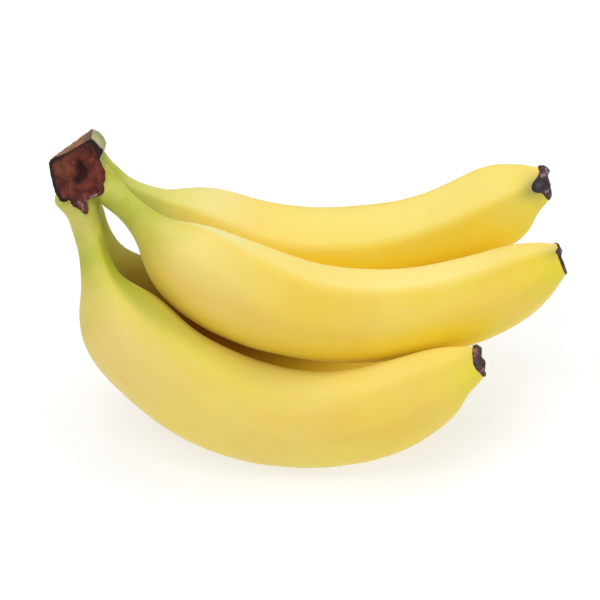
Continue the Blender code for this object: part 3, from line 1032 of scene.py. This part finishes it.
# The crown's cuts and skin. A plural is the two colours that a noise mixes.
CUT_REDS = (0.070, 0.012, 0.008), (0.205, 0.038, 0.024)
CUT_ORANGES = (0.100, 0.027, 0.012), (0.235, 0.072, 0.030)
CUT_FIBRE = (0.19, 0.050, 0.034)
CUT_GRAIN = (0.26, 0.15, 0.10)
CUT_HOLLOW = (0.022, 0.006, 0.006)
CUT_DIM = (0.050, 0.012, 0.010)
CUT_BORDER = (0.018, 0.011, 0.010)
SHREDS = (0.42, 0.26, 0.23)
TOP_BROWNS = (0.23, 0.096, 0.050), (0.46, 0.215, 0.098)
TOP_BLOTCH = (0.085, 0.040, 0.036)
TOP_PEAK = (0.105, 0.066, 0.056)
TOP_EDGE = (0.62, 0.52, 0.32)
CROWN_GREENS = (0.30, 0.31, 0.09), (0.44, 0.40, 0.17)
# The painted shade on the crown's skin towards the far cut face.
CROWN_SKIN_SHADE = (0.20, 0.22, 0.05)
# The dried flower ends.
FLOWER_BROWNS = (0.020, 0.009, 0.012), (0.110, 0.045, 0.045)
RUST = (0.26, 0.13, 0.07)
FLECKS = (0.33, 0.23, 0.23)
FINE_FLECKS = (0.34, 0.24, 0.24)
SLATES = (0.030, 0.034, 0.038), (0.075, 0.084, 0.094)
SCAR_EDGE = (0.012, 0.008, 0.010)
MOUTH_GREYS = (0.016, 0.015, 0.020), (0.070, 0.060, 0.070)


def stalk_green(n):
    """The green of the stalks, the same on the crown as on the fruit."""
    share = n.ramp(n.noise(n.read("place", "Vector"), 60.0, 2.0), 0.35, 0.65)
    # A paler green on the upper back fruit's stalk, partly painted light.
    return n.mix(n.part("light", 0.6), n.mix(share, GREEN, PALE_GREEN), LIT_STALK_GREEN)


def skin_like(n):
    """A faintly translucent, waxy surface."""
    inputs = {"Subsurface Weight": 0.12, "Subsurface Radius": (1.0, 0.7, 0.15)}
    n.fill(n.shader, inputs | {"Subsurface Scale": 0.002, "Specular IOR Level": 0.3})


def peel_material():
    """Peel with soft blotches and lengthwise streaks, greener towards the stalk."""
    n = Nodes("peel_skin")
    place = n.read("peel", "Vector")
    streaks = n.noise(n.scaled(place, (14.0, 260.0, 260.0)), 1.0, 4.0, 0.6)
    smears = n.noise(n.scaled(place, (16.0, 62.0, 62.0)), 1.0, 3.0, 0.6, 0.3)
    specks = n.ramp(n.cells(place, 190.0), 0.20, 0.06)
    specks = n.times(specks, n.ramp(n.noise(place, 75.0, 1.0), 0.60, 0.74))
    inner, dry = n.read("inner"), n.read("dry")
    colour = n.mix(n.ramp(n.noise(place, 26.0, 2.0), 0.35, 0.68), YELLOW, WARM_YELLOW)
    coats = (
        (n.part("tan", 0.9), BUFF),
        (n.ramp(streaks, 0.42, 0.75, 0.0, 0.12), BUFF),
        (n.ramp(smears, 0.50, 0.72, 0.0, 0.42), SMEAR),
        # painted highlight: the upper face paler where the light from above falls
        (n.part("pale", 0.85), HIGHLIGHT_YELLOW),
        (n.ramp(n.read("ridge"), 0.45, 1.1, 0.0, 0.25), WARM_YELLOW),
        # painted bounce light between the fruit
        (n.part("deep", 0.85), BOUNCE_YELLOW),
        (n.part("under", 0.55), EDGE_GREEN),
        (n.part("tip", 0.75), TIP_GREEN),
        (n.read("green"), stalk_green(n)),
        # the shoulder's pale bloom, partly a painted highlight
        (n.part("bloom_and_highlight", 0.9), BLOOM_AND_HIGHLIGHT),
        (inner, n.mix(n.ramp(inner, 0.45, 0.85), YELLOW_GREEN, INNER_GREEN)),
        (n.part("peach", 0.6), PALE_SKIN_COLOUR),
        # painted shade on the hidden front of the lower back fruit and on the upper face halfway along
        (n.part("shade", 0.9), SHADE_OLIVE),
        (n.part("brown", 0.9), SHADE_BROWN),
        (n.times(specks, 0.12), BRUISE),
        (n.part("smudge", 0.62), SMUDGE),
        (n.ramp(dry, 0.05, 0.5), BRUISE),
        (n.ramp(dry, 0.35, 0.9), BLACK_BROWN),
    )
    dull = n.add(dry, n.add(n.read("shade"), n.read("deep")))
    rough = n.add(n.ramp(n.noise(place, 120.0, 3.0), 0.3, 0.7, 0.52, 0.60), n.times(dull, 0.3))
    height = n.add(n.times(n.noise(place, 900.0, 2.0), 0.4), streaks)
    height = n.add(height, n.noise(place, 260.0, 2.0))
    skin_like(n)
    return n.finish(n.painted(colour, coats), rough, height, 0.08 * MM, 0.5)


def crown_material():
    """Dark, fibrous dried cuts over buff and green skin."""
    n = Nodes("crown_cut_and_skin")
    place = n.read("fibre", "Vector")
    near, far, top = n.read("near"), n.read("far"), n.read("top")
    streak = n.noise(n.scaled(place, (620.0, 75.0, 620.0)), 1.0, 5.0, 0.65, 0.4)
    blotch = n.noise(place, 190.0, 4.0, 0.6, 0.5)
    grain = n.noise(place, 1500.0, 3.0, 0.6)
    torn = n.times(n.part("torn", 0.95), n.ramp(streak, 0.40, 0.54))
    upright = n.mix(n.ramp(blotch, 0.36, 0.62), *CUT_REDS)
    cut_coats = (
        (
            n.times(n.read("left"), n.ramp(blotch, 0.36, 0.56, 0.15, 0.75)),
            n.mix(n.ramp(streak, 0.34, 0.68), *CUT_ORANGES),
        ),
        (n.ramp(streak, 0.52, 0.70, 0.0, 0.4), CUT_FIBRE),
        (n.ramp(grain, 0.64, 0.80, 0.0, 0.22), CUT_GRAIN),
        (n.ramp(n.read("hollow"), 0.20, 0.85, 0.0, 0.86), CUT_HOLLOW),
        (n.part("dim", 0.45), CUT_DIM),
        (n.ramp(n.read("border"), 0.35, 0.9, 0.0, 0.92), CUT_BORDER),
        (n.times(torn, n.ramp(grain, 0.34, 0.60, 0.25, 1.0)), SHREDS),
    )
    upper = n.mix(n.ramp(streak, 0.40, 0.64), *TOP_BROWNS)
    top_coats = (
        (n.ramp(blotch, 0.50, 0.66, 0.0, 0.75), TOP_BLOTCH),
        (n.ramp(n.read("peak"), 0.15, 0.85, 0.0, 0.8), TOP_PEAK),
    )
    skin = n.mix(n.ramp(n.noise(place, 120.0, 3.0), 0.35, 0.65), *CROWN_GREENS)
    skin_coats = (
        # painted shade towards the far cut face
        (n.part("behind", 0.55), CROWN_SKIN_SHADE),
        (n.read("root"), stalk_green(n)),
        (n.part("peach", 0.6), PALE_SKIN_COLOUR),
        (n.ramp(grain, 0.62, 0.78, 0.0, 0.20), BRUISE),
        (n.ramp(top, 0.04, 0.14, 0.0, 0.6), TOP_EDGE),
        (n.ramp(top, 0.25, 0.6), n.painted(upper, top_coats)),
        (n.ramp(n.add(near, far), 0.25, 0.6), n.painted(upright, cut_coats)),
    )
    cut = n.add(n.add(near, far), top)
    rough = n.ramp(cut, 0.0, 1.0, 0.56, 0.86)
    height = n.times(n.add(streak, n.times(grain, 0.5)), cut)
    skin_like(n)
    return n.finish(n.painted(skin, skin_coats), rough, height, 0.5 * MM, 0.8)


def flower_material():
    """Dried flower end: purple-brown, with pale flecks, a rusty top edge and slate-grey scars."""
    n = Nodes("dried_flower_end")
    place = n.read("place", "Vector")
    coarse = n.noise(place, 420.0, 4.0, 0.65, 0.6)
    fine = n.noise(place, 1500.0, 3.0, 0.6)
    scar = n.add(n.read("slate"), n.ramp(coarse, 0.3, 0.7, -0.25, 0.25))
    colour = n.mix(n.ramp(coarse, 0.38, 0.62), *FLOWER_BROWNS)
    coats = (
        (n.ramp(n.read("rust"), 0.25, 0.85, 0.0, 0.75), RUST),
        (n.ramp(n.noise(place, 340.0, 2.0, 0.5), 0.56, 0.66, 0.0, 0.75), FLECKS),
        (n.ramp(fine, 0.58, 0.72, 0.0, 0.6), FINE_FLECKS),
        (n.ramp(scar, 0.05, 0.35, 0.0, 0.9), SCAR_EDGE),
        (n.ramp(scar, 0.62, 1.02), n.mix(n.ramp(fine, 0.38, 0.66), *SLATES)),
        (n.read("mouth"), n.mix(n.ramp(fine, 0.40, 0.72), *MOUTH_GREYS)),
    )
    height = n.add(coarse, n.times(fine, 0.6))
    rough = n.ramp(coarse, 0.3, 0.7, 0.58, 0.84)
    return n.finish(n.painted(colour, coats), rough, height, 0.6 * MM, 0.9)


# Studio

KEY_POWER = 4.6
TOP_POWER = 4.7
FILL_POWER = 1.1
WALLS = 0.56
FLOOR_GLOW = 0.62
FLOOR_GREYS = (0.40, 0.40, 0.41), (0.42, 0.42, 0.43)
FLOOR_HALF = 3.0


def floor_material():
    n = Nodes("studio_floor")
    place = n.new("TexCoord", {}, "Object")
    colour = n.mix(n.ramp(n.noise(place, 3.0, 2.0), 0.3, 0.7), *FLOOR_GREYS)
    inputs = {"Base Color": colour, "Roughness": 1.0, "Specular IOR Level": 0.0}
    glow = {"Emission Color": (1.0, 1.0, 1.0), "Emission Strength": FLOOR_GLOW}
    n.fill(n.shader, inputs | glow)
    return n.material


def area_light(name, place, aim, size, power):
    light = bpy.data.lights.new(name, "AREA")
    light.shape = "RECTANGLE"
    light.size, light.size_y = size
    light.energy = power
    obj = new_object(name, light)
    obj.location = place
    obj.rotation_euler = (Vector(aim) - Vector(place)).to_track_quat("-Z", "Y").to_euler()
    obj.visible_camera = False


def studio():
    corners = FLOOR_HALF * np.array([(-1, -1, 0), (1, -1, 0), (1, 1, 0), (-1, 1, 0)])
    floor = mesh_object("floor", corners, [(0, 1, 2, 3)], smooth=False)
    floor.data.materials.append(floor_material())
    area_light("key", (-0.35, -0.45, 1.1), (0, 0, 0.05), (0.8, 0.7), KEY_POWER)
    area_light("top", (0.10, 0.40, 1.2), (0, 0, 0.05), (1.0, 0.8), TOP_POWER)
    area_light("fill", (0.85, -0.15, 0.30), (0.05, 0, 0.05), (0.5, 0.5), FILL_POWER)
    world = bpy.data.worlds.new("studio")
    world.use_nodes = True
    world.node_tree.nodes["Background"].inputs["Color"].default_value = (1, 1, 1, 1)
    world.node_tree.nodes["Background"].inputs["Strength"].default_value = WALLS
    bpy.context.scene.world = world
    bpy.context.scene.view_settings.view_transform = "Standard"


def camera():
    toward, _, _ = camera_axes()
    data = bpy.data.cameras.new("camera")
    data.sensor_width = SENSOR
    data.lens = SENSOR * PIXELS_PER_M * DISTANCE / PICTURE
    data.clip_start = 0.01
    obj = new_object("camera", data)
    obj.location = Vector(LOOK_AT - DISTANCE * toward)
    obj.rotation_euler = Vector(toward).to_track_quat("-Z", "Y").to_euler()
    bpy.context.scene.camera = obj


def main():
    fruits = {name: Fruit(name) for name in FRUITS}
    peel = peel_material()
    dried = flower_material()
    for fruit in fruits.values():
        make_fruit(fruit, fruits).data.materials.append(peel)
        make_flower_end(fruit).data.materials.append(dried)
    make_crown(fruits).data.materials.append(crown_material())
    camera()
    studio()


main()
